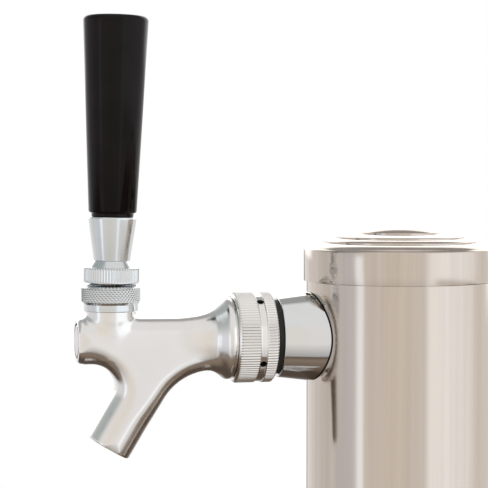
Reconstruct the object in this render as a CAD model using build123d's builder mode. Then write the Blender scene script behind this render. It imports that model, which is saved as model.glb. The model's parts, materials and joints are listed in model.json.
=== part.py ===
"""Beer tap tower: a 3 in stainless column with one rear-closing draught faucet.

Millimetres. +Z is up, the faucet points along -Y, and the origin is the centre of the
underside of the base, on the counter. Places along the faucet are given as a reach, the
distance from the column's axis towards -Y, and a height above or below the faucet's axis.
"""

import os
from math import cos, radians, sin, sqrt

from build123d import *

# Column, base and cap
column_r = 38.1
column_wall = 1.2
column_top = 328.6
gasket_thickness = 2.0
gasket_outer_r = 62.5
gasket_inner_r = 36.0
flange_r = 63.5
flange_bore_r = 35.0
flange_plate = 4.0
flange_hub_r = 42.5
flange_hub_height = 4.0
bolt_circle_r = 52.5
bolt_hole_r = 3.25
bolt_count = 4

cap_r = 39.3
cap_rim = 330.0
cap_skirt = 13.5
cap_sheet = 1.0
cap_clearance = 0.08
cap_terraces = [(31.5, 2.9), (26.3, 4.7), (16.0, 6.4), (0.0, 9.2)]
terrace_roll = 0.3
plug_outer_r = 36.2
plug_inner_r = 31.5
plug_height = 15.0
o_ring_r = 1.3
o_ring_height = cap_rim - 11.0
o_ring_clearance = 0.06

# Faucet axis and the rings along it, as reaches
faucet_z = 294.4
shank_r = 11.1
shank_bore_r = 5.1
shank_rear = 8.0
shank_flange_r = 14.1
shank_flange_rear = 58.9
shank_front = 62.4
clear_hole_r = 11.5
sleeve_front = 52.2
sleeve_front_r = 16.2
sleeve_rear_r = 17.9
shank_shoulder_r = 11.85
shank_shoulder = 1.8
shank_washer = 2.0
shank_washer_r = 14.9
saddle_gasket = 0.5
saddle_gasket_r = 17.5
inner_washer_r = 15.5
inner_washer_rear = 28.0
lock_nut_length = 6.0
lock_nut_flats = 31.0

nut_rear = 54.9
nut_front = 70.9
nut_r = 18.1
nut_face_r = 17.0
nut_chamfer = 1.2
nut_lip = 3.7
nut_lip_r = 12.0
nut_thread_r = 14.35
nut_band_r = 17.6
nut_band = (59.4, 62.3)
spanner_hole_start = 58
spanner_hole_r = 1.4
spanner_hole_depth = 2.6

# Tailpiece inside the column
tail_flange_r = 10.4
tail_flange = 2.0
tail_gasket = 1.6
tail_r = 4.8
tail_bore_r = 3.3
tail_nut_length = 14.0
tail_nut_lip = 2.6
tail_nut_flats = 27.0
elbow_r = 12.0
elbow_start = -6.0
barb_r = 5.6
barb_land = 0.6
barb_tops = (30.0, 34.5, 39.0)
barb_length = 3.5
tail_drop = 60.0

# Faucet body
body_rear = shank_front + 2.0
thread_r = 14.2875
collar_r = 16.5
collar_rear = 71.2
collar_front = 73.6
flare_waist = (79.0, 12.0)
flare_front = 86.0
body_top = 9.0
rear_chamber_r = 6.0
seat_rear = 82.0
seat_front = 84.5
seat_hole_r = 3.6
mid_bore_r = 5.6
front_bore_rear = 106.0
front_bore_r = 6.5
boss_r = 9.2
boss_front = 133.2
lever_reach = 119.5
lever_column_r = 9.85
lever_column_top = 11.7
spigot_r = 8.9
spigot_top = 15.2
ball_cavity_r = 7.5
ball_cavity_floor = 8.2
arm_passage_r = 5.5
spout_r = 9.1
spout_bore_r = 6.2
spout_bore_start = 7.0
spout_root = 95.4
spout_angle = radians(30.6)
spout_length = 49.8
belly_r = 32.1
belly_height = -3.5
web_half_width = 6.4
web_outline = [(100.0, -2.0), (123.3, -4.6), (119.9, -11.0), (118.0, -17.0), (118.6, -22.5), (108.0, -16.0)]

# Shaft
shaft_clearance = 0.08
shaft_guide_rear = 113.3
stem_r = 2.4
stem_rear = 74.8
seat_washer_r = 5.0
seat_washer_front = 81.7
seat_washer = 2.5
shaft_nut_r = 4.2
shaft_nut = 3.0
pocket_r = 3.15
pocket_half_width = 2.65
shaft_flat = 5.0
shaft_flat_front = 129.2

# Lever, collar and handle, as heights above the ball centre along the lever's axis
lean = radians(1.2)
ball_height = 12.0
ball_r = 6.5
ball_clearance = 0.05
arm_length = 12.0
arm_r = 2.2
arm_tip_r = 2.85
lever_stem_r = 3.5
lever_thread_r = 4.7
lever_thread_start = 14.6
lever_top = 52.6
ring_r = 10.9
ring_bottom = 10.9
ring_top = 16.9
ring_shoulder_r = 8.7
ring_neck_r = 7.0
ferrule_bottom = 19.6
ferrule_top = 36.9
ferrule_bottom_r = 7.15
ferrule_top_r = 9.5
ring_recess_r = 14.95
handle_neck_r = 8.3
handle_neck = 1.8
handle_bottom_r = 9.5
handle_top = 116.0
handle_top_r = 13.0
handle_edge_r = 2.0
insert_r = 6.5
insert_length = 16.0
insert_room = 1.4

# Bonnet, as heights above the faucet axis
bonnet_ceiling = 15.5
bonnet_neck_r = 10.65
bonnet_neck_top = 14.5
bonnet_r = 11.65
bonnet_knurl_bottom = 15.6
bonnet_knurl_top = 20.9
bonnet_top = 22.3
bonnet_top_r = 9.7
cone_low_r = 5.7
cone_high_r = 8.85

# Planes and axes
side = Plane(origin=(0, 0, faucet_z), x_dir=(0, -1, 0), z_dir=(-1, 0, 0))
faucet_axis = Axis((0, 0, faucet_z), (0, -1, 0))
ball_centre = (0, -lever_reach, faucet_z + ball_height)
lever_plane = Plane(origin=ball_centre, x_dir=(1, 0, 0), z_dir=(0, -cos(lean), sin(lean)))
lever_axis = Axis(ball_centre, (0, sin(lean), cos(lean)))
bonnet_plane = Plane(origin=(0, -lever_reach, faucet_z), x_dir=(1, 0, 0), z_dir=(0, -1, 0))
bonnet_axis = Axis((0, -lever_reach, faucet_z), (0, 0, 1))


def at_reach(reach):
    """The plane square to the faucet's axis at a reach, facing away from the column."""
    return Plane(origin=(0, -reach, faucet_z), x_dir=(1, 0, 0), z_dir=(0, -1, 0))


def section(plane, *points):
    """A closed straight-sided half section, to be revolved."""
    with BuildSketch(plane) as drawn:
        with BuildLine():
            Polyline(*points, close=True)
        make_face()
    return drawn.sketch


def ring_section(plane, low, high, inner_r, outer_r):
    """Half section of a plain ring about the plane's vertical direction."""
    return section(plane, (inner_r, low), (outer_r, low), (outer_r, high), (inner_r, high))


def tube_section(rear, front, inner_r, outer_r):
    """Half section of a plain ring about the faucet's axis."""
    return section(side, (rear, inner_r), (front, inner_r), (front, outer_r), (rear, outer_r))


def save(name, piece):
    """Label a finished piece and write it as one STEP."""
    piece.part.label = name
    export_step(piece.part, f"parts/{name}.step")


os.makedirs("parts", exist_ok=True)

# Base gasket
with BuildPart() as base_gasket:
    with BuildSketch():
        Circle(gasket_outer_r)
        Circle(gasket_inner_r, mode=Mode.SUBTRACT)
        with PolarLocations(bolt_circle_r, bolt_count, start_angle=45):
            Circle(bolt_hole_r, mode=Mode.SUBTRACT)
    extrude(amount=gasket_thickness)
save("base_gasket", base_gasket)

# Base flange, with a ledge that the column stands on inside its hub
plate_top = gasket_thickness + flange_plate
hub_top = plate_top + flange_hub_height
with BuildPart() as base_flange:
    revolve(
        section(
            Plane.XZ,
            (flange_bore_r, gasket_thickness),
            (flange_r, gasket_thickness),
            (flange_r, plate_top - 1.2),
            (flange_r - 1.2, plate_top),
            (flange_hub_r, plate_top),
            (flange_hub_r - 1.5, hub_top),
            (column_r, hub_top),
            (column_r, plate_top),
            (flange_bore_r, plate_top),
        ),
        axis=Axis.Z,
    )
    with BuildSketch(Plane.XY.offset(gasket_thickness)):
        with PolarLocations(bolt_circle_r, bolt_count, start_angle=45):
            Circle(bolt_hole_r)
    extrude(amount=flange_plate, mode=Mode.SUBTRACT)
save("base_flange", base_flange)

# Column, with one hole for the shank
column_inner_r = column_r - column_wall
with BuildPart() as column:
    with BuildSketch(Plane.XY.offset(plate_top)):
        Circle(column_r)
        Circle(column_inner_r, mode=Mode.SUBTRACT)
    extrude(amount=column_top - plate_top)
    with BuildSketch(at_reach(0)):
        Circle(clear_hole_r)
    extrude(amount=2 * column_r, mode=Mode.SUBTRACT)
save("column", column)

# Cap: a skirt outside the column under rolled terraces
skirt_inner_r = column_r + cap_clearance
skirt_bottom = cap_rim - cap_skirt
ceiling_r, ceiling_rise = cap_terraces[0]
with BuildPart() as cap_shell:
    with BuildSketch(Plane.XZ):
        with BuildLine():
            Polyline(
                (skirt_inner_r, skirt_bottom),
                (cap_r - 0.5, skirt_bottom),
                (cap_r, skirt_bottom + 0.7),
                (cap_r, cap_rim - 0.6),
                (cap_r - 0.6, cap_rim),
            )
            start = (cap_r - 0.6, cap_rim)
            for terrace_r, rise in cap_terraces:
                end = (terrace_r, cap_rim + rise)
                shoulder = (start[0] - terrace_roll * (start[0] - end[0]), end[1])
                Bezier(start, shoulder, end)
                start = end
            inside = [(r, cap_rim + rise - cap_sheet) for r, rise in reversed(cap_terraces)]
            Polyline(start, *inside, (skirt_inner_r, cap_rim - cap_sheet), (skirt_inner_r, skirt_bottom))
        make_face()
    revolve(axis=Axis.Z)
save("cap_shell", cap_shell)

# Plug ring inside the cap, with a groove for the O-ring
slope = ceiling_rise / (skirt_inner_r - ceiling_r)
plug_edge_top = cap_rim - cap_sheet + slope * (skirt_inner_r - plug_outer_r)
groove_r = column_inner_r - o_ring_clearance - 2 * o_ring_r
with BuildPart() as cap_plug:
    revolve(
        section(
            Plane.XZ,
            (plug_inner_r, cap_rim - plug_height),
            (plug_outer_r, cap_rim - plug_height),
            (plug_outer_r, o_ring_height - o_ring_r - 0.2),
            (groove_r, o_ring_height - o_ring_r - 0.2),
            (groove_r, o_ring_height + o_ring_r + 0.2),
            (plug_outer_r, o_ring_height + o_ring_r + 0.2),
            (plug_outer_r, plug_edge_top),
            (plug_inner_r, cap_rim - cap_sheet + ceiling_rise),
        ),
        axis=Axis.Z,
    )
save("cap_plug", cap_plug)

with BuildPart() as cap_o_ring:
    with BuildSketch(Plane.XZ):
        with Locations((groove_r + o_ring_r, o_ring_height)):
            Circle(o_ring_r)
    revolve(axis=Axis.Z)
save("cap_o_ring", cap_o_ring)

# Shank, the threaded tube that carries the faucet through the column's wall
shoulder_rear = sleeve_front + shank_washer
with BuildPart() as shank:
    revolve(
        section(
            side,
            (shank_rear, shank_bore_r),
            (shank_front, shank_bore_r),
            (shank_front, shank_flange_r),
            (shank_flange_rear, shank_flange_r),
            (shank_flange_rear, shank_r),
            (shoulder_rear + shank_shoulder, shank_r),
            (shoulder_rear + shank_shoulder, shank_shoulder_r),
            (shoulder_rear, shank_shoulder_r),
            (shoulder_rear, shank_r),
            (shank_rear + 0.8, shank_r),
            (shank_rear, shank_r - 0.8),
        ),
        axis=faucet_axis,
    )
save("shank", shank)

# Trim sleeve between the column and the coupling nut, its rear cut to a saddle
saddle_r = column_r + saddle_gasket
band_bottom = faucet_z - 25
with BuildPart() as shank_sleeve:
    revolve(
        section(
            side,
            (30.0, clear_hole_r),
            (sleeve_front, clear_hole_r),
            (sleeve_front, sleeve_front_r - 0.4),
            (sleeve_front - 0.4, sleeve_front_r),
            (30.0, sleeve_rear_r + 0.7),
        ),
        axis=faucet_axis,
    )
    with BuildSketch(Plane.XY.offset(band_bottom)):
        Circle(saddle_r)
    extrude(amount=50, mode=Mode.SUBTRACT)
save("shank_sleeve", shank_sleeve)

with BuildPart() as shank_washer_ring:
    revolve(tube_section(sleeve_front, shoulder_rear, shank_r, shank_washer_r), axis=faucet_axis)
save("shank_washer", shank_washer_ring)

with BuildPart() as sleeve_gasket:
    with BuildSketch(Plane.XY.offset(band_bottom)):
        Circle(saddle_r)
        Circle(column_r, mode=Mode.SUBTRACT)
    extrude(amount=50)
    with BuildSketch(at_reach(0)):
        Circle(saddle_gasket_r)
        Circle(clear_hole_r, mode=Mode.SUBTRACT)
    extrude(amount=50, mode=Mode.INTERSECT)
save("sleeve_gasket", sleeve_gasket)

with BuildPart() as inner_saddle_washer:
    with BuildSketch(at_reach(inner_washer_rear)):
        Circle(inner_washer_r)
        Circle(clear_hole_r, mode=Mode.SUBTRACT)
    extrude(amount=12)
    with BuildSketch(Plane.XY.offset(band_bottom)):
        Circle(column_inner_r)
    extrude(amount=50, mode=Mode.INTERSECT)
save("inner_saddle_washer", inner_saddle_washer)

with BuildPart() as shank_lock_nut:
    with BuildSketch(at_reach(inner_washer_rear - lock_nut_length)):
        RegularPolygon(radius=lock_nut_flats / 2, side_count=6, major_radius=False)
        Circle(shank_r, mode=Mode.SUBTRACT)
    extrude(amount=lock_nut_length)
save("shank_lock_nut", shank_lock_nut)

# Coupling nut, captive behind the shank's flange, with a spanner band round its middle
with BuildPart() as coupling_nut:
    revolve(
        section(
            side,
            (nut_rear, nut_lip_r),
            (nut_rear + nut_lip, nut_lip_r),
            (nut_rear + nut_lip, nut_thread_r),
            (nut_front, nut_thread_r),
            (nut_front, nut_face_r),
            (nut_front - nut_chamfer, nut_r),
            (nut_band[1], nut_r),
            (nut_band[1], nut_band_r),
            (nut_band[0], nut_band_r),
            (nut_band[0], nut_r),
            (nut_rear + 0.6, nut_r),
            (nut_rear, nut_r - 0.6),
        ),
        axis=faucet_axis,
    )
    nut_middle = (nut_band[0] + nut_band[1]) / 2
    for turn in range(4):
        around = radians(spanner_hole_start + 90 * turn)
        outward = (cos(around), 0, sin(around))
        drill_start = Vector(0, -nut_middle, faucet_z) + Vector(*outward) * (nut_band_r - spanner_hole_depth)
        with BuildSketch(Plane(origin=drill_start, z_dir=outward)):
            Circle(spanner_hole_r)
        extrude(amount=2 * spanner_hole_depth, mode=Mode.SUBTRACT)
save("coupling_nut", coupling_nut)

with BuildPart() as coupling_washer:
    revolve(tube_section(shank_front, body_rear, rear_chamber_r, shank_flange_r - 0.6), axis=faucet_axis)
save("coupling_washer", coupling_washer)

# Tailpiece: flange, elbow and hose barb, held on the shank's rear end by a hex nut
tail_flange_front = shank_rear - tail_gasket
tail_flange_rear = tail_flange_front - tail_flange
with BuildPart() as tailpiece_gasket:
    revolve(tube_section(tail_flange_front, shank_rear, shank_bore_r, tail_flange_r), axis=faucet_axis)
save("tailpiece_gasket", tailpiece_gasket)

with BuildPart() as tailpiece:
    with BuildLine(side):
        FilletPolyline(
            (tail_flange_front, 0),
            (elbow_start - elbow_r, 0),
            (elbow_start - elbow_r, -tail_drop),
            radius=elbow_r,
        )
    with BuildSketch(at_reach(tail_flange_front)):
        Circle(tail_r)
        Circle(tail_bore_r, mode=Mode.SUBTRACT)
    sweep()
    revolve(tube_section(tail_flange_rear, tail_flange_front, tail_bore_r, tail_flange_r), axis=faucet_axis)
    tail_y = elbow_r - elbow_start
    barb_plane = Plane(origin=(0, tail_y, faucet_z), x_dir=(1, 0, 0), z_dir=(0, -1, 0))
    for barb_top in barb_tops:
        revolve(
            section(
                barb_plane,
                (tail_bore_r, -barb_top),
                (barb_r, -barb_top),
                (barb_r, -barb_top - barb_land),
                (tail_r, -barb_top - barb_length),
                (tail_bore_r, -barb_top - barb_length),
            ),
            axis=Axis((0, tail_y, faucet_z), (0, 0, 1)),
        )
save("tailpiece", tailpiece)

tail_nut_rear = tail_flange_rear - tail_nut_lip
with BuildPart() as tailpiece_nut:
    with BuildSketch(at_reach(tail_nut_rear)):
        RegularPolygon(radius=tail_nut_flats / 2, side_count=6, major_radius=False)
        Circle(tail_r + 0.6, mode=Mode.SUBTRACT)
    extrude(amount=tail_nut_length)
    with BuildSketch(at_reach(tail_flange_rear)):
        Circle(shank_r)
    extrude(amount=tail_nut_length, mode=Mode.SUBTRACT)
save("tailpiece_nut", tailpiece_nut)

# Faucet body: threaded collar, barrel, front boss, lever column and spout in one casting
spout_run = sin(spout_angle)
spout_drop = -cos(spout_angle)
spout_plane = Plane(origin=(0, -spout_root, faucet_z), x_dir=(1, 0, 0), z_dir=(0, -spout_run, spout_drop))
spout_end = (spout_root + spout_length * spout_run, spout_length * spout_drop)
belly_corner = spout_root + belly_height * spout_run / spout_drop
with BuildPart() as faucet_body:
    with BuildLine(side):
        FilletPolyline(
            (collar_rear + 0.5, belly_height),
            (belly_corner, belly_height),
            spout_end,
            radius=belly_r,
        )
    with BuildSketch(at_reach(collar_rear + 0.5)):
        with Locations((0, belly_height)):
            Circle(spout_r)
    sweep()
    revolve(
        section(
            side,
            (body_rear, 0),
            (body_rear, thread_r),
            (collar_rear - 1.0, thread_r),
            (collar_rear - 1.0, thread_r - 1.0),
            (collar_rear, thread_r - 1.0),
            (collar_rear, collar_r),
            (collar_front, collar_r),
            flare_waist,
            (flare_front, body_top),
            (lever_reach + 2.0, body_top),
            (lever_reach + 2.0, 0),
        ),
        axis=faucet_axis,
    )
    with BuildSketch(side.offset(-web_half_width)):
        with BuildLine():
            Polyline(*web_outline, close=True)
        make_face()
    extrude(amount=2 * web_half_width)
    with BuildSketch(at_reach(lever_reach - 5.0)):
        Circle(boss_r)
    extrude(amount=boss_front - lever_reach + 5.0)
    revolve(
        section(
            bonnet_plane,
            (0, -7.0),
            (8.0, -7.0),
            (lever_column_r, -3.0),
            (lever_column_r, lever_column_top),
            (spigot_r, lever_column_top),
            (spigot_r, spigot_top),
            (0, spigot_top),
        ),
        axis=bonnet_axis,
    )
    revolve(
        section(
            side,
            (body_rear, 0),
            (body_rear, rear_chamber_r),
            (seat_rear, rear_chamber_r),
            (seat_rear, seat_hole_r),
            (seat_front, seat_hole_r),
            (seat_front, mid_bore_r),
            (front_bore_rear, mid_bore_r),
            (front_bore_rear, front_bore_r),
            (boss_front, front_bore_r),
            (boss_front, 0),
        ),
        axis=faucet_axis,
        mode=Mode.SUBTRACT,
    )
    with BuildSketch(spout_plane.offset(spout_bore_start)):
        Circle(spout_bore_r)
    extrude(amount=spout_length, mode=Mode.SUBTRACT)
    with Locations(spout_plane.offset(spout_bore_start).origin):
        Sphere(spout_bore_r, mode=Mode.SUBTRACT)
    revolve(
        section(
            bonnet_plane,
            (0, 0),
            (arm_passage_r, 0),
            (arm_passage_r, ball_cavity_floor),
            (ball_cavity_r, ball_cavity_floor),
            (ball_cavity_r, spigot_top),
            (0, spigot_top),
        ),
        axis=bonnet_axis,
        mode=Mode.SUBTRACT,
    )
save("faucet_body", faucet_body)

# Shaft, with the pocket that the lever's tip works in
tip_reach = lever_reach + arm_length * sin(lean)
shaft_r = front_bore_r - shaft_clearance
with BuildPart() as faucet_shaft:
    revolve(
        section(
            side,
            (stem_rear, 0),
            (stem_rear, stem_r),
            (shaft_guide_rear, stem_r),
            (shaft_guide_rear, shaft_r),
            (boss_front - 0.4, shaft_r),
            (boss_front, shaft_r - 0.4),
            (boss_front, 0),
        ),
        axis=faucet_axis,
    )
    with BuildSketch(Plane.XY.offset(faucet_z + shaft_flat)):
        with Locations((0, -(shaft_guide_rear + shaft_flat_front) / 2)):
            Rectangle(2 * shaft_r, shaft_flat_front - shaft_guide_rear)
    extrude(amount=shaft_r, mode=Mode.SUBTRACT)
    with Locations((0, -tip_reach, faucet_z)):
        Sphere(pocket_r, mode=Mode.SUBTRACT)
    with BuildSketch(Plane.XY.offset(faucet_z)):
        with Locations((0, -tip_reach)):
            Circle(pocket_r)
    extrude(amount=2 * shaft_r, mode=Mode.SUBTRACT)
    with BuildSketch(side.offset(-pocket_half_width)):
        with BuildLine():
            Polyline(
                (tip_reach - pocket_half_width, 0),
                (tip_reach + pocket_half_width, 0),
                (tip_reach + 2.2 * pocket_half_width, shaft_r + 0.5),
                (tip_reach - pocket_half_width, shaft_r + 0.5),
                close=True,
            )
        make_face()
    extrude(amount=2 * pocket_half_width, mode=Mode.SUBTRACT)
save("faucet_shaft", faucet_shaft)

with BuildPart() as seat_washer_ring:
    revolve(
        tube_section(seat_washer_front - seat_washer, seat_washer_front, stem_r, seat_washer_r),
        axis=faucet_axis,
    )
save("seat_washer", seat_washer_ring)

with BuildPart() as shaft_nut_hex:
    with BuildSketch(at_reach(seat_washer_front - seat_washer - shaft_nut)):
        RegularPolygon(radius=shaft_nut_r, side_count=6)
        Circle(stem_r, mode=Mode.SUBTRACT)
    extrude(amount=shaft_nut)
save("shaft_nut", shaft_nut_hex)

# Lever: tip, arm, ball and threaded stem
with BuildPart() as lever:
    revolve(
        section(
            lever_plane,
            (0, -arm_length),
            (arm_r, -arm_length),
            (arm_r, 0),
            (lever_stem_r, 0),
            (lever_stem_r, lever_thread_start - 1.2),
            (lever_thread_r, lever_thread_start),
            (lever_thread_r, lever_top - 0.8),
            (lever_thread_r - 0.8, lever_top),
            (0, lever_top),
        ),
        axis=lever_axis,
    )
    with Locations(ball_centre):
        Sphere(ball_r)
    with Locations((0, -tip_reach, faucet_z + ball_height - arm_length * cos(lean))):
        Sphere(arm_tip_r)
save("lever", lever)

# The ball turns between a seat washer below it and a friction washer above it
socket_r = ball_r + ball_clearance
with BuildPart() as ball_washer:
    revolve(
        ring_section(bonnet_plane, ball_cavity_floor, ball_height - 0.8, 4.4, ball_cavity_r),
        axis=bonnet_axis,
    )
    with Locations(ball_centre):
        Sphere(socket_r, mode=Mode.SUBTRACT)
save("ball_washer", ball_washer)

with BuildPart() as friction_washer:
    revolve(
        ring_section(bonnet_plane, ball_height + 0.4, spigot_top, 5.5, ball_cavity_r),
        axis=bonnet_axis,
    )
    with Locations(ball_centre):
        Sphere(socket_r, mode=Mode.SUBTRACT)
save("friction_washer", friction_washer)

# Bonnet, screwed over the body's spigot, its mouth flared for the lever's swing
with BuildPart() as bonnet:
    revolve(
        section(
            bonnet_plane,
            (spigot_r, lever_column_top),
            (bonnet_neck_r, lever_column_top),
            (bonnet_neck_r, bonnet_neck_top),
            (bonnet_r, bonnet_knurl_bottom),
            (bonnet_r, bonnet_knurl_top),
            (bonnet_top_r, bonnet_top),
            (cone_high_r, bonnet_top),
            (cone_low_r, bonnet_ceiling),
            (spigot_r, bonnet_ceiling),
        ),
        axis=bonnet_axis,
    )
save("bonnet", bonnet)

# Lever collar, hollowed underneath so that it clears the bonnet at full tilt
with BuildPart() as lever_collar:
    revolve(
        section(
            lever_plane,
            (lever_thread_r, ring_bottom),
            (ring_r - 0.3, ring_bottom),
            (ring_r, ring_bottom + 0.3),
            (ring_r, ring_top - 0.4),
            (ring_r - 0.4, ring_top),
            (ring_shoulder_r, ring_top),
            (ring_neck_r, ferrule_bottom),
            (lever_thread_r, ferrule_bottom),
        ),
        axis=lever_axis,
    )
    with Locations(ball_centre):
        Sphere(ring_recess_r, mode=Mode.SUBTRACT)
save("lever_collar", lever_collar)

with BuildPart() as handle_ferrule:
    revolve(
        section(
            lever_plane,
            (lever_thread_r, ferrule_bottom),
            (ferrule_bottom_r, ferrule_bottom),
            (ferrule_top_r, ferrule_top - 0.9),
            (ferrule_top_r, ferrule_top - 0.4),
            (ferrule_top_r - 0.4, ferrule_top),
            (lever_thread_r, ferrule_top),
        ),
        axis=lever_axis,
    )
save("handle_ferrule", handle_ferrule)

with BuildPart() as handle_insert:
    revolve(
        ring_section(lever_plane, ferrule_top, ferrule_top + insert_length, lever_thread_r, insert_r),
        axis=lever_axis,
    )
save("handle_insert", handle_insert)

# Handle: a straight taper over a short neck, moulded round its insert
room_top = ferrule_top + insert_length + insert_room
with BuildPart() as handle:
    with BuildSketch(lever_plane):
        with BuildLine():
            Polyline(
                (insert_r, ferrule_top),
                (handle_neck_r, ferrule_top),
                (handle_neck_r, ferrule_top + handle_neck - 0.5),
                (handle_bottom_r - 0.3, ferrule_top + handle_neck),
                (handle_bottom_r, ferrule_top + handle_neck + 0.4),
                (handle_top_r, handle_top - handle_edge_r),
            )
            edge_middle = handle_edge_r * (1 - sqrt(0.5))
            ThreePointArc(
                (handle_top_r, handle_top - handle_edge_r),
                (handle_top_r - edge_middle, handle_top - edge_middle),
                (handle_top_r - handle_edge_r, handle_top),
            )
            Polyline(
                (handle_top_r - handle_edge_r, handle_top),
                (0, handle_top),
                (0, room_top),
                (insert_r, room_top),
                (insert_r, ferrule_top),
            )
        make_face()
    revolve(axis=lever_axis)
save("handle", handle)
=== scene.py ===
"""Looks of the beer tap tower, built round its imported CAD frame.

Blender works in metres. The outline of a turned piece is given in millimetres, as (radius,
height) about its axis, and a place matrix puts that axis where the CAD model has it. Along the
faucet, height is the reach forward from the column's axis.
"""

import json
import math

import bpy
import numpy as np
from mathutils import Matrix, Vector


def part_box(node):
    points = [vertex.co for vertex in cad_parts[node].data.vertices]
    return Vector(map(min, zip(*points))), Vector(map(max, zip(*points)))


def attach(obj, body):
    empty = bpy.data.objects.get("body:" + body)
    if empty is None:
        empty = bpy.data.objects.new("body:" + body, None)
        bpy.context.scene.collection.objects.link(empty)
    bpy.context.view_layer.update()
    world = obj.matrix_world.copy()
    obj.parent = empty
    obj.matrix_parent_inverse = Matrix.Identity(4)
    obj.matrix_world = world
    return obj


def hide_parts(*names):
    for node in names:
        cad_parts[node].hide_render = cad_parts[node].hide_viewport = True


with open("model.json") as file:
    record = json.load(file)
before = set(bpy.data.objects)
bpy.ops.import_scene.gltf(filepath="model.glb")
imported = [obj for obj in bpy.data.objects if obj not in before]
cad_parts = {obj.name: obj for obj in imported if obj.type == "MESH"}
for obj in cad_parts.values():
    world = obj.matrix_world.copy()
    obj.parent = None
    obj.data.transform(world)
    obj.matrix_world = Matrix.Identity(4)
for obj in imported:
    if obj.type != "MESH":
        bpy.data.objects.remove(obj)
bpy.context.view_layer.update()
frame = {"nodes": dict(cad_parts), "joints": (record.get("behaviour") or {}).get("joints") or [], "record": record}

MM = 0.001
JOINTS = {joint["name"]: joint for joint in frame["joints"]}
FAUCET_Z = JOINTS["coupling_nut_turn"]["pos_m"][2]
BALL = Vector(JOINTS["lever_tilt"]["pos_m"])
BALL_REACH = -BALL.y / MM
LEVER_LEAN = math.radians(1.2)
COLUMN_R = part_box("column")[1].x / MM
COLUMN_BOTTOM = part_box("column")[0].z / MM
COLUMN_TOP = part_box("column")[1].z / MM
COLUMN_WALL = 1.2
CAP_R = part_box("cap_shell")[1].x / MM
CAP_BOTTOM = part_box("cap_shell")[0].z / MM
CAP_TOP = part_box("cap_shell")[1].z / MM
BODY_FRONT = -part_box("faucet_body")[0].y / MM
NUT_REAR = -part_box("coupling_nut")[1].y / MM
NUT_FRONT = -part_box("coupling_nut")[0].y / MM
NUT_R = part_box("coupling_nut")[1].x / MM
SADDLE_GASKET = 0.5
SHANK_HOLE_R = 11.5

# Places: the piece's Z axis is the one it is turned about
UPRIGHT = Matrix.Identity(4)
ALONG_FAUCET = Matrix.Translation((0, 0, FAUCET_Z)) @ Matrix.Rotation(math.pi / 2, 4, "X")
ON_LEVER = Matrix.Translation(BALL) @ Matrix.Rotation(-LEVER_LEAN, 4, "X")
ON_BONNET = Matrix.Translation((0, BALL.y, FAUCET_Z))


# ---------------------------------------------------------------- mesh tools

ON_AXIS = 1e-6
NEARLY_STRAIGHT = math.radians(4)
SIDE_SHARE = 0.45
CREASE = 38


def new_piece(name, vertices, faces, crease=CREASE):
    """A smooth-shaded mesh object, given in metres, with its sharp edges marked by angle."""
    mesh = bpy.data.meshes.new(name)
    mesh.from_pydata([tuple(v) for v in vertices], [], faces)
    mesh.validate()
    mesh.update()
    piece = bpy.data.objects.new(name, mesh)
    bpy.context.scene.collection.objects.link(piece)
    shade(piece, crease)
    return piece


def shade(piece, crease):
    """Smooth shading, kept sharp along edges that turn more than crease degrees."""
    piece.data.shade_smooth()
    piece.data.set_sharp_from_angle(angle=math.radians(crease))


def rounded(points, radius, steps=4, keep=()):
    """The closed outline with its corners rounded to about that radius.

    Corners whose numbers are in keep stay sharp, and so do those on the axis.
    """
    result = []
    count = len(points)
    for i, corner in enumerate(points):
        here = Vector(corner)
        before = Vector(points[i - 1]) - here
        after = Vector(points[(i + 1) % count]) - here
        if i in keep or here.x < ON_AXIS:
            result.append(tuple(here))
            continue
        turn = math.pi - before.angle(after)
        if turn < NEARLY_STRAIGHT:
            result.append(tuple(here))
            continue
        longest = SIDE_SHARE * min(before.length, after.length)
        reach = min(radius * math.tan(turn / 2), longest)
        start = here + before.normalized() * reach
        end = here + after.normalized() * reach
        for k in range(steps + 1):
            t = k / steps
            result.append(tuple(start * (1 - t) ** 2 + here * 2 * t * (1 - t) + end * t * t))
    return result


def dense(points, step, low, high):
    """The outline with extra points no more than step apart, between two heights."""
    result = []
    count = len(points)
    for i, point in enumerate(points):
        here, there = Vector(point), Vector(points[(i + 1) % count])
        result.append(tuple(here))
        middle = (here.y + there.y) / 2
        if low <= middle <= high:
            pieces = max(1, math.ceil((there - here).length / step))
            result += [tuple(here.lerp(there, k / pieces)) for k in range(1, pieces)]
    return result


def turned(name, outline, place, around=128, relief=None, crease=CREASE):
    """A turned piece: a closed outline of (radius, height) in mm about the place's Z axis.

    relief(angle, radius, height) is added to the radius, for knurls.
    """
    angles = np.linspace(0, 2 * math.pi, around, endpoint=False)
    vertices, rows = [], []
    for radius, height in outline:
        if radius < ON_AXIS:
            rows.append([len(vertices)] * around)
            vertices.append((0.0, 0.0, height))
            continue
        radii = np.full(around, radius)
        if relief is not None:
            radii = radii + relief(angles, radius, height)
        rows.append(list(range(len(vertices), len(vertices) + around)))
        vertices += list(zip(radii * np.cos(angles), radii * np.sin(angles), [height] * around))
    faces = []
    for i, row in enumerate(rows):
        above = rows[(i + 1) % len(rows)]
        if row[0] == row[1] and above[0] == above[1]:
            continue
        for k in range(around):
            n = (k + 1) % around
            corners = (row[k], row[n], above[n], above[k])
            faces.append(tuple(dict.fromkeys(corners)))
    placed = [place @ (Vector(v) * MM) for v in vertices]
    return new_piece(name, placed, faces, crease)


def cut(target, tools, crease=CREASE):
    """Cut each tool away from the target. The tools are used up."""
    for tool in tools:
        step = target.modifiers.new("boolean", "BOOLEAN")
        step.operation = "DIFFERENCE"
        step.solver = "EXACT"
        step.object = tool
        bpy.context.view_layer.update()
        result = target.evaluated_get(bpy.context.evaluated_depsgraph_get())
        mesh = bpy.data.meshes.new_from_object(result)
        target.modifiers.clear()
        target.data = mesh
        bpy.data.objects.remove(tool)
    shade(target, crease)


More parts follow.
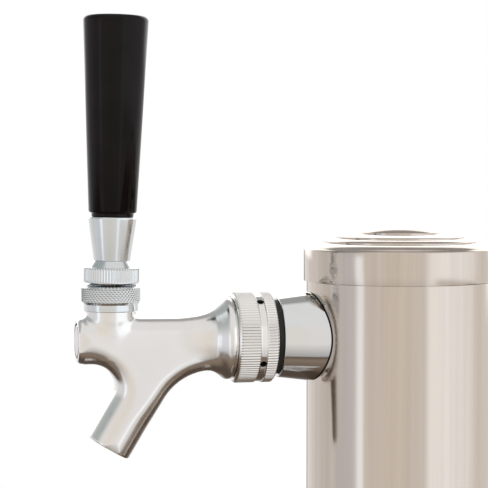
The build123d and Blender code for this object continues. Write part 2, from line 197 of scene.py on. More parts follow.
def rod(name, place, radius, low, high, around=96):
    """A plain cylinder in mm along the place's Z axis, for cutting with."""
    return turned(name, [(0, low), (radius, low), (radius, high), (0, high)], place, around)


def finish_piece(piece, body, slot, node, finish=None):
    """Make a piece ride on a CAD body and stand for a node, in its slot's finish or another."""
    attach(piece, body)
    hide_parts(node)
    piece.data.materials.clear()
    piece.data.materials.append(MATERIALS[finish or slot])


# ---------------------------------------------------------------- materials


EVEN = (1, 1, 1)
NOISE_DETAIL = 3.0
TINT_RANGE = (0.35, 0.65)
POLISH_RANGE = (0.3, 0.7)
MATERIALS = {}


class Shader:
    """One node material, with short ways to add the nodes that all of them use."""

    def __init__(self, name):
        self.material = bpy.data.materials.new(name)
        self.material.use_nodes = True
        self.nodes = self.material.node_tree.nodes
        self.links = self.material.node_tree.links
        self.surface = self.nodes["Principled BSDF"]
        self.place = self.nodes.new("ShaderNodeTexCoord").outputs["Object"]

    def noise(self, scale, stretch=EVEN):
        """Noise in object space, finer along the axes with the larger stretch."""
        mapping = self.nodes.new("ShaderNodeMapping")
        mapping.inputs["Scale"].default_value = stretch
        self.links.new(self.place, mapping.inputs["Vector"])
        noise = self.nodes.new("ShaderNodeTexNoise")
        noise.inputs["Scale"].default_value = scale
        noise.inputs["Detail"].default_value = NOISE_DETAIL
        self.links.new(mapping.outputs["Vector"], noise.inputs["Vector"])
        return noise.outputs["Fac"]

    def tint(self, factor, dark, light):
        """Base colour that runs from dark to light with a factor."""
        ramp = self.nodes.new("ShaderNodeValToRGB")
        for element, place, colour in zip(ramp.color_ramp.elements, TINT_RANGE, (dark, light)):
            element.position = place
            element.color = (*colour, 1)
        self.links.new(factor, ramp.inputs["Fac"])
        self.links.new(ramp.outputs["Color"], self.surface.inputs["Base Color"])

    def polish(self, factor, low, high):
        """Roughness that runs from low to high with a factor."""
        spread = self.nodes.new("ShaderNodeMapRange")
        spread.inputs["From Min"].default_value = POLISH_RANGE[0]
        spread.inputs["From Max"].default_value = POLISH_RANGE[1]
        spread.inputs["To Min"].default_value = low
        spread.inputs["To Max"].default_value = high
        self.links.new(factor, spread.inputs["Value"])
        self.links.new(spread.outputs["Result"], self.surface.inputs["Roughness"])

    def bump(self, factor, strength, depth):
        """Surface relief of that depth in millimetres."""
        bump = self.nodes.new("ShaderNodeBump")
        bump.inputs["Strength"].default_value = strength
        bump.inputs["Distance"].default_value = depth * MM
        self.links.new(factor, bump.inputs["Height"])
        self.links.new(bump.outputs["Normal"], self.surface.inputs["Normal"])


def metal(name, dark, light, rough, grain, strength, depth, lines=EVEN, clouds=60, drawn=EVEN):
    """A bare or plated metal: colour varies in soft clouds, polish and relief with its grain.

    lines stretches the grain, and drawn stretches the clouds.
    """
    shader = Shader(name)
    shader.surface.inputs["Metallic"].default_value = 1.0
    shader.tint(shader.noise(clouds, drawn), dark, light)
    fine = shader.noise(grain, lines)
    shader.polish(fine, *rough)
    shader.bump(fine, strength, depth)
    MATERIALS[name] = shader.material


def moulded(name, dark, light, rough, grain, strength, depth, specular=0.5):
    """A moulded plastic or rubber with a fine surface grain."""
    shader = Shader(name)
    shader.surface.inputs["Specular IOR Level"].default_value = specular
    shader.tint(shader.noise(90), dark, light)
    fine = shader.noise(grain)
    shader.polish(fine, *rough)
    shader.bump(fine, strength, depth)
    MATERIALS[name] = shader.material


metal(
    "stainless_column", dark=(0.575, 0.513, 0.460), light=(0.625, 0.558, 0.500), rough=(0.09, 0.14),
    grain=700, strength=0.03, depth=0.01, lines=(1, 1, 14), clouds=300, drawn=(1, 1, 0.015),
)
metal(
    "stainless_cast", dark=(0.790, 0.780, 0.773), light=(0.825, 0.815, 0.808), rough=(0.17, 0.24),
    grain=400, strength=0.02, depth=0.02,
)
metal(
    "stainless_satin", dark=(0.600, 0.580, 0.560), light=(0.640, 0.620, 0.600), rough=(0.18, 0.28),
    grain=1400, strength=0.08, depth=0.03,
)
metal(
    "chrome_plate", dark=(0.810, 0.840, 0.870), light=(0.830, 0.860, 0.890), rough=(0.05, 0.08),
    grain=600, strength=0.02, depth=0.01,
)
# A darker copy of the chrome plate for the sleeve: its darker colour is painted shade
metal(
    "sleeve_plate_painted_shade", dark=(0.725, 0.735, 0.745), light=(0.745, 0.755, 0.765), rough=(0.05, 0.08),
    grain=600, strength=0.02, depth=0.01,
)
metal(
    "turned_plate", dark=(0.800, 0.785, 0.765), light=(0.830, 0.815, 0.795), rough=(0.10, 0.15),
    grain=600, strength=0.02, depth=0.01,
)
# A darker, rougher copy of the chrome plate for the bonnet, lever collar and ferrule: the darker colour is painted
# shade, like the shade in the knurls' grooves
metal(
    "plate_with_painted_shade", dark=(0.660, 0.685, 0.700), light=(0.700, 0.725, 0.740), rough=(0.12, 0.18),
    grain=600, strength=0.02, depth=0.01,
)
metal(
    "brass_plain", dark=(0.620, 0.440, 0.200), light=(0.700, 0.520, 0.260), rough=(0.22, 0.36),
    grain=1500, strength=0.08, depth=0.03,
)
moulded(
    "handle_black", dark=(0.0035, 0.0022, 0.0026), light=(0.0055, 0.0038, 0.0042), rough=(0.07, 0.11),
    grain=500, strength=0.02, depth=0.01, specular=0.14,
)
moulded(
    "plastic_plug", dark=(0.030, 0.030, 0.032), light=(0.050, 0.050, 0.052), rough=(0.40, 0.55),
    grain=1800, strength=0.2, depth=0.05,
)
moulded(
    "seal_white", dark=(0.700, 0.690, 0.650), light=(0.800, 0.790, 0.750), rough=(0.45, 0.60),
    grain=1500, strength=0.1, depth=0.05,
)
moulded(
    "rubber_black", dark=(0.012, 0.012, 0.012), light=(0.024, 0.024, 0.024), rough=(0.50, 0.70),
    grain=1600, strength=0.2, depth=0.06, specular=0.3,
)

for part in frame["record"]["subparts"]:
    node_mesh = frame["nodes"][part["node"]].data
    node_mesh.materials.clear()
    node_mesh.materials.append(MATERIALS[part["material_slot"]])


# ---------------------------------------------------------------- column and cap


def column_tube():
    """The column, with its shank hole and a small break on its ends."""
    inner = COLUMN_R - COLUMN_WALL
    edge_break = 0.25
    outline = [
        (inner, COLUMN_BOTTOM), (COLUMN_R, COLUMN_BOTTOM),
        (COLUMN_R, COLUMN_TOP), (inner, COLUMN_TOP),
    ]
    tube = turned("column_tube", rounded(outline, edge_break, 3), UPRIGHT, around=256)
    hole = rod("shank_hole", ALONG_FAUCET, SHANK_HOLE_R, 20.0, 50.0)
    cut(tube, [hole])
    finish_piece(tube, "tower", "stainless_column", "column")


def cap_lid():
    """The pressed lid: a skirt with eased edges, a rim, and rolled terraces up to a low dome."""
    crown = 9.2
    rim = CAP_TOP - crown
    terraces = [(31.5, 2.9), (26.3, 4.7), (16.0, 6.4), (0.0, crown)]
    step_height = 0.6
    sheet = 1.0
    steps = 10
    inner_r = COLUMN_R + 0.08
    outline = [(inner_r, CAP_BOTTOM)]
    outline += [(CAP_R - 0.4, CAP_BOTTOM), (CAP_R - 0.1, CAP_BOTTOM + 0.12), (CAP_R, CAP_BOTTOM + 0.4)]
    outline += [(CAP_R, rim - 0.7), (CAP_R - 0.1, rim - 0.35), (CAP_R - 0.35, rim - 0.1)]
    start = (CAP_R - 0.7, rim)
    outline.append(start)
    for radius, rise in terraces:
        riser = step_height if radius > 0 else 0.0
        end = (radius, rim + rise - riser)
        shoulder = (start[0] - 0.3 * (start[0] - end[0]), end[1])
        for k in range(1, steps + 1):
            t = k / steps
            outline.append(
                tuple(
                    start[i] * (1 - t) ** 2 + shoulder[i] * 2 * t * (1 - t) + end[i] * t * t
                    for i in range(2)
                )
            )
        if riser:
            start = (radius - 0.12, rim + rise)
            outline += [(radius - 0.02, rim + rise - 0.1), start]
    outline += [(radius, rim + rise - sheet) for radius, rise in reversed(terraces)]
    outline.append((inner_r, rim - sheet))
    lid = turned("cap_lid", outline, UPRIGHT, around=256, crease=30)
    finish_piece(lid, "cap", "stainless_column", "cap_shell")


# ---------------------------------------------------------------- sleeve and coupling nut


def trim_sleeve():
    """The bright sleeve between column and nut, with its saddle-cut rear."""
    front = 52.2
    buried = 30.0
    outline = [(SHANK_HOLE_R, buried), (SHANK_HOLE_R, front), (16.2, front), (17.9, 39.0), (18.6, buried)]
    sleeve = turned("trim_sleeve", rounded(outline, 0.55, 6, keep=(0, 4)), ALONG_FAUCET, around=192)
    low, high = FAUCET_Z / MM - 30, FAUCET_Z / MM + 30
    column = rod("saddle", UPRIGHT, COLUMN_R + SADDLE_GASKET, low, high, around=256)
    cut(sleeve, [column], crease=30)
    # The sleeve takes the darker copy of the chrome plate, as painted shade
    finish_piece(sleeve, "tower", "chrome_plate", "shank_sleeve", "sleeve_plate_painted_shade")


def ridges(angle, count):
    """0 on a ridge's crest and 1 in the groove between, round the circle."""
    return 0.5 - 0.5 * np.cos(angle * count)


def fade(height, low, high, width=0.25):
    """1 between two heights, falling to 0 within width of each."""
    rise = min(max((height - low) / width, 0.0), 1.0)
    fall = min(max((high - height) / width, 0.0), 1.0)
    return rise * fall


def knurled_nut():
    """The coupling nut: two straight-knurled bands beside a smooth band with spanner holes."""
    teeth = 96
    depth = 0.42
    rear, front = NUT_REAR, NUT_FRONT
    band_low, band_high = 59.4, 62.3
    band_r = NUT_R - 0.5
    shank_r = 12.0
    thread_r = 14.35
    lip = rear + 3.7
    outline = [
        (shank_r, rear), (shank_r, lip), (thread_r, lip), (thread_r, front), (17.0, front),
        (NUT_R, front - 1.2), (NUT_R, band_high), (band_r, band_high - 0.1), (band_r, band_low + 0.1),
        (NUT_R, band_low), (NUT_R, rear + 0.6), (NUT_R - 0.6, rear),
    ]
    outline = dense(rounded(outline, 0.3, 4), 0.3, rear, front)

    def relief(angle, radius, height):
        if radius < band_r - 0.8:
            return 0.0 * angle
        bands = fade(height, band_high, front - 0.7) + fade(height, rear + 0.2, band_low)
        return -depth * bands * ridges(angle, teeth)

    nut = turned("knurled_nut", outline, ALONG_FAUCET, around=teeth * 8, relief=relief, crease=60)

    # Four blind spanner holes, a quarter turn apart
    hole_r = 1.4
    floor_r = band_r - 2.6
    first = 58
    quarter = 90
    outward = Matrix.Rotation(math.pi / 2, 4, "Y")
    holes = []
    for turn in range(4):
        across = Matrix.Rotation(math.radians(first + quarter * turn), 4, "Z") @ outward
        place = ALONG_FAUCET @ Matrix.Translation((0, 0, (band_low + band_high) / 2 * MM)) @ across
        holes.append(rod(f"spanner_hole_{turn}", place, hole_r, floor_r, NUT_R + 2, around=40))
    cut(nut, holes, crease=60)
    finish_piece(nut, "coupling_nut", "chrome_plate", "coupling_nut", "turned_plate")

    # The walls of the holes take a black finish as painted shade, standing in for the shade deep inside the holes
    nut.data.materials.append(MATERIALS["rubber_black"])
    hole_half_angle = 6
    to_axis = ALONG_FAUCET.inverted()
    for face in nut.data.polygons:
        x, y, z = to_axis @ face.center / MM
        turn = (math.degrees(math.atan2(y, x)) - first + quarter / 2) % quarter - quarter / 2
        in_wall = thread_r + 0.25 < math.hypot(x, y) < band_r - 0.2
        in_band = band_low - 0.1 < z < band_high + 0.1
        if in_wall and in_band and abs(turn) < hole_half_angle:
            face.material_index = 1


# ---------------------------------------------------------------- bonnet, lever collar, handle

STEM_HOLE_R = 4.7
COLLAR_TOP = 19.6
FERRULE_TOP = 36.9


def knurled_bonnet():
    """The bonnet: a smooth neck under a diamond-knurled ring with chamfered ends."""
    diamonds = 48
    pitch = 1.55
    depth = 0.45
    low, high = 15.6, 20.9
    foot, top = 11.7, 22.3
    thread_r, thread_top = 8.9, 15.5
    neck_r = 10.65
    ring_r = 11.65
    outline = [
        (thread_r, foot), (neck_r, foot), (neck_r, 14.5), (ring_r, low), (ring_r, high), (9.7, top),
        (8.85, top), (5.7, thread_top), (thread_r, thread_top),
    ]
    outline = dense(rounded(outline, 0.35, 4), 0.16, low - 0.4, high + 0.4)

    def relief(angle, radius, height):
        if radius < ring_r - 0.65:
            return 0.0 * angle
        climb = 2 * math.pi * height / pitch
        grooves = np.maximum(
            (0.5 - 0.5 * np.cos(angle * diamonds + climb)) ** 2,
            (0.5 - 0.5 * np.cos(angle * diamonds - climb)) ** 2,
        )
        return -depth * fade(height, low - 0.2, high + 0.2, 0.5) * grooves

    bonnet = turned("knurled_bonnet", outline, ON_BONNET, around=diamonds * 8, relief=relief, crease=60)
    # The bonnet takes the darker copy of the chrome plate, as painted shade
    finish_piece(bonnet, "tower", "chrome_plate", "bonnet", "plate_with_painted_shade")


def knurled_collar():
    """The lever collar: a straight-knurled ring under a cone, hollowed round the ball."""
    teeth = 60
    depth = 0.35
    low, high = 10.9, 16.9
    ring_r = 10.9
    hollow = 14.95
    rim = math.sqrt(hollow**2 - low**2)
    start = math.atan2(STEM_HOLE_R, math.sqrt(hollow**2 - STEM_HOLE_R**2))
    end = math.atan2(rim, low)
    steps = 10
    turns = [start + (end - start) * k / steps for k in range(steps)]
    outline = [(hollow * math.sin(turn), hollow * math.cos(turn)) for turn in turns]
    outside = [
        (rim, low), (ring_r, low), (ring_r, high), (9.0, high), (7.0, COLLAR_TOP),
        (STEM_HOLE_R, COLLAR_TOP),
    ]
    outline = dense(outline + rounded(outside, 0.25, 4, keep=(0, 4, 5)), 0.35, low, high)

    def relief(angle, radius, height):
        if radius < ring_r - 0.4:
            return 0.0 * angle
        return -depth * fade(height, low + 0.3, high - 0.1, 0.5) * ridges(angle, teeth)

    collar = turned("knurled_collar", outline, ON_LEVER, around=teeth * 8, relief=relief, crease=50)
    # The collar takes the darker copy of the chrome plate, as painted shade
    finish_piece(collar, "lever", "chrome_plate", "lever_collar", "plate_with_painted_shade")


def ferrule_cone():
    """The polished cone under the handle."""
    outline = [
        (STEM_HOLE_R, COLLAR_TOP), (7.1, COLLAR_TOP), (9.4, 35.6), (9.5, 36.2),
        (9.3, FERRULE_TOP), (STEM_HOLE_R, FERRULE_TOP),
    ]
    ferrule = turned("ferrule_cone", rounded(outline, 0.3, 4), ON_LEVER, around=160)
    # The ferrule takes the darker copy of the chrome plate, as painted shade
    finish_piece(ferrule, "lever", "chrome_plate", "handle_ferrule", "plate_with_painted_shade")


def tapered_handle():
    """The black handle: neck, bevelled foot, straight taper and a rounded top edge."""
    socket_r, socket_end = 6.5, 54.3
    neck_r = 8.3
    top, top_r, top_edge = 116.0, 13.0, 2.0
    steps = 10
    foot = [(socket_r, FERRULE_TOP), (neck_r, FERRULE_TOP), (neck_r, 38.4), (9.1, 38.7), (9.5, 39.2)]
    outline = rounded(foot, 0.3, 4, keep=(0, 4))
    for k in range(steps + 1):
        turn = math.pi / 2 * k / steps
        radius = top_r - top_edge * (1 - math.cos(turn))
        outline.append((radius, top - top_edge * (1 - math.sin(turn))))
    outline += [(0, top), (0, socket_end), (socket_r, socket_end)]
    handle = turned("tapered_handle", outline, ON_LEVER, around=192)
    finish_piece(handle, "lever", "handle_black", "handle")


# ---------------------------------------------------------------- faucet body

# The spout leaves the faucet's axis at SPOUT_ROOT, and SPOUT_RUN is its (forward, up) direction
SPOUT_ROOT = 95.4
SPOUT_TILT = math.radians(30.6)
SPOUT_LENGTH = 49.8
SPOUT_R = 9.0
SPOUT_RUN = (math.sin(SPOUT_TILT), -math.cos(SPOUT_TILT))
ON_SPOUT = (
    Matrix.Translation((0, -SPOUT_ROOT * MM, FAUCET_Z))
    @ Matrix.Rotation(math.pi - SPOUT_TILT, 4, "X")
)
COLLAR_REAR = 71.2
BODY_REAR = 64.4
COUPLING_THREAD_R = 14.2875
LEVER_COLUMN_R = 9.85
BODY_HALF_WIDTH = 9.0


def arc(centre, radius, start, end, step=3):
    """Points along an arc, angles in degrees."""
    count = max(2, round(abs(end - start) / step))
    angles = [math.radians(start + (end - start) * k / count) for k in range(count + 1)]
    return [(centre[0] + radius * math.cos(a), centre[1] + radius * math.sin(a)) for a in angles]


def side_outline():
    """The body from the side, as (reach, height): barrel, boss, throat, spout and belly."""
    rear, front = 62.0, 137.0
    boss_r = 9.2
    past_lip = SPOUT_LENGTH + 5.0
    lip = (SPOUT_ROOT + past_lip * SPOUT_RUN[0], past_lip * SPOUT_RUN[1])
    across = (-SPOUT_RUN[1], SPOUT_RUN[0])
    points = [(rear, 8.6), (79.6, 8.6), (108.5, 8.9), (118.0, 9.0), (121.0, boss_r), (front, boss_r)]
    points += [(front, -9.3)]
    points += arc((127.25, -18.8), 9.5, 90, 170)
    points += arc((124.59, -18.33), 6.8, 170, 210.6)
    points += [(lip[0] + SPOUT_R * across[0], lip[1] + SPOUT_R * across[1])]
    points += [(lip[0] - SPOUT_R * across[0], lip[1] - SPOUT_R * across[1])]
    points += arc((79.05, -35.6), 23.0, 30.6, 90)
    points += [(75.0, -13.0), (rear, -13.0)]
    return points


def outline_distance(points, u, v):
    """Signed distance from a closed outline, below 0 inside it."""
    u, v = np.broadcast_arrays(u, v)
    nearest = np.full(u.shape, np.inf)
    inside = np.zeros(u.shape, bool)
    same_point = 1e-12
    for (au, av), (bu, bv) in zip(points, points[1:] + points[:1]):
        eu, ev = bu - au, bv - av
        length_squared = eu * eu + ev * ev
        if length_squared < same_point:
            continue
        t = np.clip(((u - au) * eu + (v - av) * ev) / length_squared, 0, 1)
        nearest = np.minimum(nearest, (u - au - t * eu) ** 2 + (v - av - t * ev) ** 2)
        if ev != 0:
            inside ^= ((av > v) != (bv > v)) & (u < eu * (v - av) / ev + au)
    return np.where(inside, -1, 1) * np.sqrt(nearest)


def blended(a, b, size):
    """The union of two solids' distances, with a fillet of about that size between them."""
    near = np.maximum(size - np.abs(a - b), 0) / size
    return np.minimum(a, b) - near * near * size / 4


def ramped(value, start, run):
    """0 up to start, 1 from a run later on, and straight between."""
    return np.clip((value - start) / run, 0, 1)


OUTLINE = side_outline()

# The threaded collar and its flare down to the barrel, as (reach, radius)
FLARE = [
    (60.0, -1.0), (60.0, 16.0), (71.4, 16.1), (71.9, 16.4), (72.5, 16.5), (73.4, 16.5), (74.0, 16.3),
    (74.8, 15.7), (75.9, 14.6), (77.2, 13.3), (78.7, 12.0), (80.4, 10.9), (82.4, 9.9), (85.0, 9.0),
    (88.5, 8.0), (93.0, 6.5), (93.0, -1.0),
]


def body_distance(reach, aside, up):
    """Signed distance from the casting before it is machined, in mm.

    The side outline is given a width, with edges that grow rounder down the spout and out
    along the boss. The lever column and the flare are blended into it.
    """
    edge_r, edge_growth = 7.0, 1.8
    down_spout = (reach - SPOUT_ROOT) * SPOUT_RUN[0] + up * SPOUT_RUN[1]
    on_spout = ramped(down_spout, 20, 18)
    on_boss = ramped(reach, 121, 7)
    edge = edge_r + edge_growth * np.maximum(on_spout * on_spout * (3 - 2 * on_spout), on_boss)
    beyond_outline = outline_distance(OUTLINE, reach, up) + edge
    beyond_side = np.abs(aside) - BODY_HALF_WIDTH + edge
    slab = np.minimum(np.maximum(beyond_outline, beyond_side), 0)
    slab = slab + np.hypot(np.maximum(beyond_outline, 0), np.maximum(beyond_side, 0)) - edge

    column_low, column_high = -6.0, 17.0
    narrowing = 3.2
    sunk = ramped(-up, -9.0, 14)
    column_r = LEVER_COLUMN_R - narrowing * sunk * sunk * (3 - 2 * sunk)
    column = np.hypot(reach - BALL_REACH, aside) - column_r
    column = np.maximum(column, np.maximum(up - column_high, column_low - up))

    flare = outline_distance(FLARE, reach, np.hypot(aside, up))
    column_fillet, flare_fillet = 2.2, 3.0
    return blended(blended(slab, column, column_fillet), flare, flare_fillet)


def net_surface(distance, low, high, cell):
    """A quad mesh of a solid's surface, drawn onto its zero distance.

    Each cell of a grid that the surface passes through gives one point, at the mean of where
    it crosses the cell's edges. Each grid edge that it crosses gives one face, which joins the
    points of the four cells round that edge. The points then slide along the distance's slope.
    """
    axes = [np.arange(a, b + cell, cell) for a, b in zip(low, high)]
    grid = np.meshgrid(*axes, indexing="ij", sparse=True)
    field = distance(*grid)
    field = np.broadcast_to(field, [len(a) for a in axes])
    solid = field < 0
    count = [len(a) - 1 for a in axes]
    total = np.zeros(count + [3])
    crossings = np.zeros(count)
    corners = [(i, j, k) for i in (0, 1) for j in (0, 1) for k in (0, 1)]

    def at_corner(array, corner):
        return array[tuple(slice(c, c + n) for c, n in zip(corner, count))]

    for a in corners:
        for axis in range(3):
            if a[axis]:
                continue
            b = list(a)
            b[axis] = 1
            fa, fb = at_corner(field, a), at_corner(field, b)
            crossed = at_corner(solid, a) != at_corner(solid, b)
            t = np.where(crossed, fa / np.where(crossed, fa - fb, 1), 0)
            for c in range(3):
                total[..., c] += np.where(crossed, a[c] + (t if c == axis else 0), 0)
            crossings += crossed
    cells = crossings > 0
    number = np.full(count, -1)
    number[cells] = np.arange(cells.sum())
    where = np.argwhere(cells)
    points = np.array(low) + (where + total[cells] / crossings[cells][:, None]) * cell
    faces = []
    for axis in range(3):
        one, two = (axis + 1) % 3, (axis + 2) % 3
        start = [slice(1, -1)] * 3
        start[axis] = slice(0, -1)
        ahead = list(start)
        ahead[axis] = slice(1, None)
        here, there = solid[tuple(start)], solid[tuple(ahead)]
        found = np.argwhere(here != there)
        flip = here[tuple(found.T)]
        base = found + [0 if c == axis else 1 for c in range(3)]
        quad = []
        for u, v in ((0, 0), (1, 0), (1, 1), (0, 1)):
            corner = base.copy()
            corner[:, one] -= u
            corner[:, two] -= v
            quad.append(number[tuple(corner.T)])
        quad = np.stack(quad, 1)
        faces.append(np.where(flip[:, None], quad, quad[:, ::-1]))

    probe = 0.02
    rounds = 4
    least_slope = 0.2
    for _ in range(rounds):
        value = distance(*points.T)
        rises = [
            distance(*(points + shift).T) - distance(*(points - shift).T)
            for shift in probe * np.eye(3)
        ]
        slope = np.stack(rises, 1) / (2 * probe)
        move = value / np.maximum((slope**2).sum(1), least_slope)
        points = points - slope * move[:, None]
    return points, np.concatenate(faces)


def cast_body():
    """The casting, drawn from its distance field, then bored and faced like the CAD body."""
    grid_low, grid_high = (61.0, -17.5, -54.5), (138.0, 17.5, 18.5)
    points, faces = net_surface(body_distance, grid_low, grid_high, cell=0.5)
    placed = [(aside * MM, -reach * MM, FAUCET_Z + up * MM) for reach, aside, up in points]
    body = new_piece("cast_body", placed, [tuple(int(i) for i in face) for face in faces])

    # From the rear: chamber, seat and its hole, middle bore, front bore, and the boss's edge
    chamber_r, seat_hole_r, middle_bore_r, front_bore_r = 6.0, 3.6, 5.6, 6.5
    seat_rear, seat_front, front_bore_rear = 82, 84.5, 106
    front = BODY_FRONT
    beyond = front + 9
    bores = turned(
        "bores",
        [
            (0, 58), (chamber_r, 58), (chamber_r, seat_rear), (seat_hole_r, seat_rear),
            (seat_hole_r, seat_front), (middle_bore_r, seat_front), (middle_bore_r, front_bore_rear),
            (front_bore_r, front_bore_rear), (front_bore_r, front - 2.0), (7.0, front - 2.0),
            (7.0, front - 0.1), (7.1, front), (7.9, front), (8.4, front - 0.2), (8.8, front - 0.7),
            (9.05, front - 1.4), (9.15, front - 2.4), (14, front - 2.4), (14, beyond), (0, beyond),
        ],
        ALONG_FAUCET,
        around=96,
    )
    rear = turned(
        "rear",
        [
            (0, 50), (32, 50), (32, COLLAR_REAR), (COUPLING_THREAD_R, COLLAR_REAR),
            (COUPLING_THREAD_R, BODY_REAR), (0, BODY_REAR),
        ],
        ALONG_FAUCET,
        around=128,
    )
    # The lever's way in, the room for its ball, and the spigot that the bonnet screws on to
    arm_r, ball_room_r, spigot_r = 5.5, 7.5, 8.9
    ball_room_low, spigot_foot, spigot_top = 8.2, 11.7, 15.2
    head = turned(
        "head",
        [
            (0, 0), (arm_r, 0), (arm_r, ball_room_low), (ball_room_r, ball_room_low),
            (ball_room_r, spigot_top), (spigot_r, spigot_top), (spigot_r, spigot_foot),
            (13, spigot_foot), (13, 30), (0, 30),
        ],
        ON_BONNET,
        around=96,
    )
    # The spout's bore with its round inner end, and its rounded lip
    spout_bore_r = 6.2
    end = SPOUT_LENGTH
    lip = end - 0.8
    mouth = turned(
        "mouth",
        [
            (0, 2.0), (3.0, 2.8), (5.2, 4.6), (spout_bore_r, 7.0), (spout_bore_r, end - 0.3),
            (6.5, end), (8.3, end), (8.8, end - 0.25), (SPOUT_R, lip), (15, lip), (15, end + 12),
            (0, end + 12),
        ],
        ON_SPOUT,
        around=96,
    )
    cut(body, [rear, bores, head, mouth], crease=32)
    finish_piece(body, "tower", "stainless_cast", "faucet_body")


column_tube()
cap_lid()
trim_sleeve()
knurled_nut()
knurled_bonnet()
knurled_collar()
ferrule_cone()
tapered_handle()
cast_body()


# ---------------------------------------------------------------- floor, light and camera

# The camera has a long lens. The tower stands right of the middle of its view, and the view
# dips below the horizon.
VIEW_TURN = math.radians(17.5)
CAMERA_DISTANCE = 0.740
CAMERA_HEIGHT = 0.3638
CAMERA_SWING = math.radians(4.95326)
CAMERA_DIP = math.radians(2.51303)
LENS = 132.787
SENSOR = 36

# The surroundings that metal reflects: radiances, and azimuths and pitches in degrees. Azimuth 0
# faces the camera and azimuth grows to its right.
FULL_RADIANCE = 2.0
SIDES = [
    (-180, (0.20, 0.19, 0.19)),
    (-166, (0.24, 0.23, 0.22)),
    (-160, (0.97, 0.96, 0.97)),
    (-150, (0.97, 0.96, 0.97)),
    (-126, (0.90, 0.88, 0.87)),
    (-112, (0.86, 0.84, 0.83)),
    (-101, (0.77, 0.75, 0.73)),
    (-97, (0.77, 0.75, 0.73)),
    (-92, (0.83, 0.82, 0.82)),
    (-70, (0.76, 0.75, 0.78)),
    (-57, (0.79, 0.80, 0.84)),
    (-51, (1.26, 1.34, 1.42)),
    (-46, (1.26, 1.34, 1.42)),
    (-42, (0.90, 0.86, 0.83)),
    (-4, (0.885, 0.830, 0.755)),
    (14, (0.92, 0.87, 0.81)),
    (32, (0.93, 0.91, 0.91)),
    (35.5, (1.22, 1.24, 1.25)),
    (62, (1.24, 1.29, 1.33)),
    (84, (1.22, 1.24, 1.26)),
    (101, (1.08, 1.09, 1.10)),
    (105, (0.95, 0.92, 0.90)),
    (140, (0.93, 0.91, 0.89)),
    (180, (0.80, 0.79, 0.78)),
]
OVERHEAD = (0.90, 0.885, 0.87)
ABOVE_BEHIND = (0.42, 0.41, 0.40)
LEFT_FLAG = (0.44, 0.48, 0.47)
RIGHT_FLAG = (0.24, 0.185, 0.14)
LOW_RIGHT = (0.80, 0.77, 0.73)
LEFT_WALL = (0.84, 0.82, 0.80)
BACKDROP = (1.80, 1.80, 1.80)
LOW_SHARE = 0.55
UNDERFOOT = [
    (-180, (0.50, 0.48, 0.46)),
    (-160, (0.42, 0.39, 0.37)),
    (-148, (0.18, 0.14, 0.11)),
    (-135, (0.10, 0.075, 0.058)),
    (-95, (0.10, 0.075, 0.058)),
    (-84, (0.19, 0.142, 0.105)),
    (-64, (0.28, 0.215, 0.160)),
    (-56, (0.17, 0.13, 0.10)),
]


def studio_floor():
    """A pale round floor. Reflections look past it to the studio's own surroundings."""
    around = 96
    radius = 1.15
    turns = [2 * math.pi * k / around for k in range(around)]
    ring = [(radius * math.cos(turn), radius * math.sin(turn), 0) for turn in turns]
    floor = new_piece("floor", ring, [tuple(range(around))])
    shader = Shader("floor_paper")
    shader.tint(shader.noise(3), (0.80, 0.80, 0.80), (0.84, 0.84, 0.84))
    shader.surface.inputs["Roughness"].default_value = 0.7
    floor.data.materials.append(shader.material)
    floor.visible_glossy = False


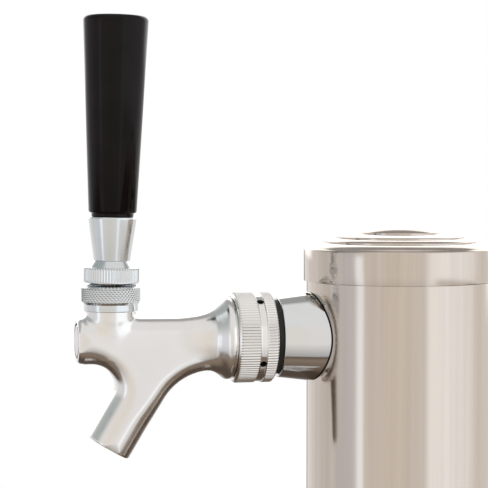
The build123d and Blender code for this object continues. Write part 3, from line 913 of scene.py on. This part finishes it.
def studio_world():
    """Soft light from all round: bright screens at the sides, dimmer gaps, a dark ground.

    The camera itself sees plain white past the floor.
    """
    world = bpy.data.worlds.new("studio")
    world.use_nodes = True
    bpy.context.scene.world = world
    nodes, links = world.node_tree.nodes, world.node_tree.links
    nodes.clear()

    def feed(socket, value):
        """Give a socket a number, a radiance, or another node's output."""
        if isinstance(value, (int, float)):
            socket.default_value = value
        elif isinstance(value, tuple):
            socket.default_value = (*(part / FULL_RADIANCE for part in value), 1)
        else:
            links.new(value, socket)

    def calculated(operation, *values):
        node = nodes.new("ShaderNodeMath")
        node.operation = operation
        for socket, value in zip(node.inputs, values):
            feed(socket, value)
        return node.outputs[0]

    def all_of(first, *others):
        """The product of some factors, so 1 only where each is 1."""
        for other in others:
            first = calculated("MULTIPLY", first, other)
        return first

    def ramp(factor, low, high, stops):
        """Colours, as radiance, at places between low and high."""
        node = nodes.new("ShaderNodeValToRGB")
        elements = node.color_ramp.elements
        while len(elements) < len(stops):
            elements.new(0.5)
        for element, (place, colour) in zip(elements, stops):
            element.position = (place - low) / (high - low)
            element.color = (*(value / FULL_RADIANCE for value in colour), 1)
        share = calculated("MULTIPLY_ADD", factor, 1 / (high - low), -low / (high - low))
        links.new(share, node.inputs["Fac"])
        return node.outputs["Color"]

    def between(factor, start, end):
        """0 at start and 1 at end, held beyond them."""
        node = nodes.new("ShaderNodeMapRange")
        node.inputs["From Min"].default_value = start
        node.inputs["From Max"].default_value = end
        links.new(factor, node.inputs["Value"])
        return node.outputs["Result"]

    def mixed(factor, one, other, blend="MIX"):
        """One colour where the factor is 0. Where it is 1, the other, or with MULTIPLY the product."""
        node = nodes.new("ShaderNodeMix")
        node.data_type = "RGBA"
        node.blend_type = blend
        feed(node.inputs["Factor"], factor)
        feed(node.inputs[6], one)
        feed(node.inputs[7], other)
        return node.outputs[2]

    direction = nodes.new("ShaderNodeTexCoord").outputs["Generated"]
    turned_view = nodes.new("ShaderNodeMapping")
    turned_view.inputs["Rotation"].default_value = (0, 0, VIEW_TURN)
    links.new(direction, turned_view.inputs["Vector"])
    split = nodes.new("ShaderNodeSeparateXYZ")
    links.new(turned_view.outputs["Vector"], split.inputs["Vector"])
    ahead, aside, up = split.outputs
    azimuth = calculated("DEGREES", calculated("ARCTAN2", aside, ahead))
    elevation = calculated("DEGREES", calculated("ARCSINE", up))
    pitch = calculated("DEGREES", calculated("ARCTAN2", up, ahead))

    # All round, dimmed to a share of itself low down
    level = ramp(azimuth, -180, 180, SIDES)
    dimmed = mixed(1.0, level, (LOW_SHARE * FULL_RADIANCE,) * 3, "MULTIPLY")
    level = mixed(between(elevation, -15, -48), level, dimmed)

    # A wall stands above and below the narrow bright screen at the left
    screen = all_of(between(azimuth, -60, -54), between(azimuth, -38, -44))
    off_screen = calculated("ADD", between(elevation, 6, 12), between(elevation, -20, -27))
    level = mixed(all_of(screen, off_screen), level, LEFT_WALL)

    # The wide screen at the right stops low down
    wide_screen = all_of(between(azimuth, 40, 50), between(azimuth, 110, 100))
    level = mixed(all_of(wide_screen, between(elevation, -13, -18)), level, LOW_RIGHT)

    # The ceiling, dimmer towards the back
    level = mixed(between(elevation, 29, 33), level, OVERHEAD)
    rear_ceiling = all_of(between(ahead, -0.20, -0.36), between(elevation, 34, 40))
    level = mixed(rear_ceiling, level, ABOVE_BEHIND)

    # The backdrop behind the tower, and a dim flag high at the left
    backdrop = all_of(between(ahead, -0.60, -0.74), between(elevation, -1.5, 1.5))
    backdrop = all_of(backdrop, between(elevation, 42, 36))
    flag = all_of(between(azimuth, -44, -66), between(azimuth, -150, -124))
    flag = all_of(flag, all_of(between(elevation, 6, 26), between(elevation, 78, 60)))
    level = mixed(backdrop, mixed(flag, level, LEFT_FLAG), BACKDROP)

    # Low down: a dark flag at the right, and the dark ground under the tower
    right = all_of(between(azimuth, 84, 98), between(azimuth, 168, 155), between(elevation, -15, -19))
    under = all_of(between(pitch, -51, -54), between(pitch, -172, -160), between(elevation, -21, -30))
    level = mixed(right, level, RIGHT_FLAG)
    level = mixed(under, level, ramp(pitch, -180, 0, UNDERFOOT))

    seen = nodes.new("ShaderNodeBackground")
    seen.inputs["Color"].default_value = (1, 1, 1, 1)
    lit = nodes.new("ShaderNodeBackground")
    links.new(level, lit.inputs["Color"])
    lit.inputs["Strength"].default_value = FULL_RADIANCE
    chosen = nodes.new("ShaderNodeMixShader")
    links.new(nodes.new("ShaderNodeLightPath").outputs["Is Camera Ray"], chosen.inputs["Fac"])
    links.new(lit.outputs[0], chosen.inputs[1])
    links.new(seen.outputs[0], chosen.inputs[2])
    output = nodes.new("ShaderNodeOutputWorld")
    links.new(chosen.outputs[0], output.inputs["Surface"])


def softbox(name, place, size, power):
    """A square area light aimed at the middle of the tower. Reflections don't show it."""
    data = bpy.data.lights.new(name, "AREA")
    data.size = size
    data.energy = power
    lamp = bpy.data.objects.new(name, data)
    lamp.location = place
    aim = Vector((0, 0, 0.25)) - Vector(place)
    lamp.rotation_mode = "QUATERNION"
    lamp.rotation_quaternion = aim.to_track_quat("-Z", "Y")
    lamp.visible_camera = False
    lamp.visible_glossy = False
    bpy.context.scene.collection.objects.link(lamp)


def photo_camera():
    """The camera, a little above the cap and almost square to the faucet's side."""
    data = bpy.data.cameras.new("camera")
    data.sensor_width = SENSOR
    data.lens = LENS
    camera = bpy.data.objects.new("camera", data)
    camera.location = (
        CAMERA_DISTANCE * math.cos(VIEW_TURN),
        -CAMERA_DISTANCE * math.sin(VIEW_TURN),
        CAMERA_HEIGHT,
    )
    camera.rotation_euler = (math.pi / 2 - CAMERA_DIP, 0, math.pi / 2 - VIEW_TURN + CAMERA_SWING)
    bpy.context.scene.collection.objects.link(camera)
    bpy.context.scene.camera = camera


studio_floor()
studio_world()
softbox("overhead", place=(0.3, -0.4, 1.3), size=0.8, power=6)
photo_camera()
bpy.context.scene.view_settings.view_transform = "Standard"
